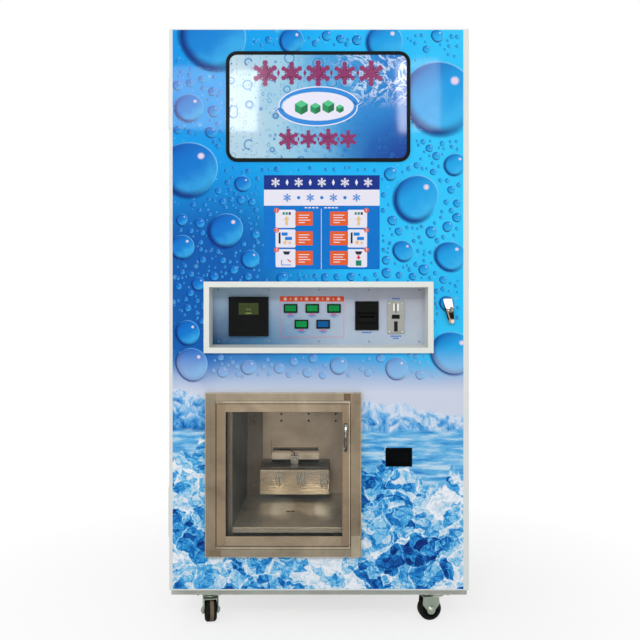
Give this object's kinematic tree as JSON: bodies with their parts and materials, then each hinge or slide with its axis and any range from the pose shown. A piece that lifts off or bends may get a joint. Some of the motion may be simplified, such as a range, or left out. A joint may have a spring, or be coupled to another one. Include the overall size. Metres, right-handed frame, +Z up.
{
  "type": "ice vending machine",
  "caption": "Floor-standing ice vending machine on casters with a full service door, lit sign, sunk control fascia and a glazed ice hatch.",
  "frame": {"origin": "middle of the machine's box at floor level", "axes": "+Z up, the front with the sign and the hatch faces -Y, +X to the right as seen from the front"},
  "size_m": [0.9887, 1.048, 1.958],
  "materials": {
    "white_paint": "smooth white powder coat",
    "grey_paint": "grey powder coat, lightly soiled",
    "printed_wrap": "glossy printed film on steel: water drops on blue over a band of ice",
    "black_rubber": "black rubber",
    "sign_acrylic": "backlit printed acrylic",
    "fascia_print": "satin printed fascia, teal to violet grey",
    "black_plastic": "black moulded plastic",
    "lcd": "olive liquid crystal window",
    "green_cap": "green translucent cap",
    "blue_cap": "blue translucent cap",
    "stainless": "brushed stainless steel",
    "chrome": "polished chrome plate",
    "glass": "clear toughened glass",
    "zinc": "zinc-plated pressing",
    "wheel": "black tread, dusty",
    "bin_liner": "white foamed plastic"
  },
  "bodies": {
    "cabinet": {"base_frame": "grey_paint", "left_side_panel": "white_paint", "right_side_panel": "white_paint", "top_panel": "white_paint", "rear_panel": "white_paint", "front_jamb": "white_paint", "lower_hinge_fixed": "white_paint", "upper_hinge_fixed": "white_paint", "compartment_box": "stainless", "compartment_shelf": "stainless", "chute_panel": "stainless", "chute_hood": "stainless", "bag_sensor": "black_plastic", "ice_bin": "bin_liner", "auger_gearmotor": "zinc", "ice_maker": "stainless", "control_box": "grey_paint", "front_left_caster_plate": "zinc", "front_right_caster_plate": "zinc", "rear_left_caster_fork": "zinc", "rear_right_caster_fork": "zinc"},
    "service_door": {"door_skin": "printed_wrap", "door_gasket": "black_rubber", "lower_hinge_door": "white_paint", "upper_hinge_door": "white_paint", "sign_trim": "black_rubber", "sign_panel": "sign_acrylic", "sign_box": "white_paint", "control_bezel": "white_paint", "control_plate": "fascia_print", "card_reader": "black_plastic", "display_lens": "lcd", "bill_acceptor": "black_plastic", "coin_acceptor": "stainless", "button_bezel_1": "black_plastic", "button_bezel_2": "black_plastic", "button_bezel_3": "black_plastic", "button_bezel_4": "black_plastic", "button_bezel_5": "black_plastic", "hatch_frame": "stainless", "window_insert": "black_plastic", "lock_rose": "chrome"},
    "hatch": {"hatch_leaf": "stainless", "hatch_glass": "glass", "hatch_handle": "chrome"},
    "lock": {"lock_handle": "chrome", "lock_cam": "zinc"},
    "coin_return": {"coin_return_button": "black_plastic"},
    "auger": {"auger": "stainless"},
    "front_left_caster": {"front_left_caster_fork": "zinc"},
    "front_left_roller": {"front_left_wheel": "wheel"},
    "front_right_caster": {"front_right_caster_fork": "zinc"},
    "front_right_roller": {"front_right_wheel": "wheel"},
    "rear_left_roller": {"rear_left_wheel": "wheel"},
    "rear_right_roller": {"rear_right_wheel": "wheel"},
    "button_1": {"button_cap_1": "green_cap"},
    "button_2": {"button_cap_2": "green_cap"},
    "button_3": {"button_cap_3": "green_cap"},
    "button_4": {"button_cap_4": "green_cap"},
    "button_5": {"button_cap_5": "blue_cap"}
  },
  "joints": [
    {"name": "service_door_hinge", "type": "hinge", "parent": "cabinet", "child": "service_door", "pos_m": [-0.4945, -0.45, 1.043], "axis": [0, 0, -1], "range_deg": [0, 105]},
    {"name": "hatch_hinge", "type": "hinge", "parent": "service_door", "child": "hatch", "pos_m": [-0.33, -0.494, 0.5015], "axis": [0, 0, -1], "range_deg": [0, 105]},
    {"name": "lock_turn", "type": "hinge", "parent": "service_door", "child": "lock", "pos_m": [0.42, -0.4963, 1.06], "axis": [0, -1, 0], "range_deg": [0, 90]},
    {"name": "coin_return_press", "type": "slide", "parent": "service_door", "child": "coin_return", "axis": [0, 1, 0], "range_m": [0, 0.004], "stiffness_N_per_m": 250, "springref_m": -0.002},
    {"name": "auger_spin", "type": "hinge", "parent": "cabinet", "child": "auger", "pos_m": [-0.094, 0.3, 0.88], "axis": [0, 1, 0], "continuous": true},
    {"name": "button_1_press", "type": "slide", "parent": "service_door", "child": "button_1", "axis": [0, 1, 0], "range_m": [0, 0.003], "stiffness_N_per_m": 300, "springref_m": -0.002},
    {"name": "button_2_press", "type": "slide", "parent": "service_door", "child": "button_2", "axis": [0, 1, 0], "range_m": [0, 0.003], "stiffness_N_per_m": 300, "springref_m": -0.002},
    {"name": "button_3_press", "type": "slide", "parent": "service_door", "child": "button_3", "axis": [0, 1, 0], "range_m": [0, 0.003], "stiffness_N_per_m": 300, "springref_m": -0.002},
    {"name": "button_4_press", "type": "slide", "parent": "service_door", "child": "button_4", "axis": [0, 1, 0], "range_m": [0, 0.003], "stiffness_N_per_m": 300, "springref_m": -0.002},
    {"name": "button_5_press", "type": "slide", "parent": "service_door", "child": "button_5", "axis": [0, 1, 0], "range_m": [0, 0.003], "stiffness_N_per_m": 300, "springref_m": -0.002},
    {"name": "front_left_swivel", "type": "hinge", "parent": "cabinet", "child": "front_left_caster", "pos_m": [-0.368, -0.401, 0.0815], "axis": [0, 0, 1], "continuous": true},
    {"name": "front_left_roll", "type": "hinge", "parent": "front_left_caster", "child": "front_left_roller", "pos_m": [-0.363, -0.4245, 0.0375], "axis": [0.9781, 0.2079, 0], "continuous": true},
    {"name": "front_right_swivel", "type": "hinge", "parent": "cabinet", "child": "front_right_caster", "pos_m": [0.394, -0.401, 0.0815], "axis": [0, 0, 1], "continuous": true},
    {"name": "front_right_roll", "type": "hinge", "parent": "front_right_caster", "child": "front_right_roller", "pos_m": [0.3704, -0.4052, 0.0375], "axis": [0.1736, -0.9848, 0], "continuous": true},
    {"name": "rear_left_roll", "type": "hinge", "parent": "cabinet", "child": "rear_left_roller", "pos_m": [-0.378, 0.431, 0.0375], "axis": [1, 0, 0], "continuous": true},
    {"name": "rear_right_roll", "type": "hinge", "parent": "cabinet", "child": "rear_right_roller", "pos_m": [0.378, 0.431, 0.0375], "axis": [1, 0, 0], "continuous": true}
  ]
}
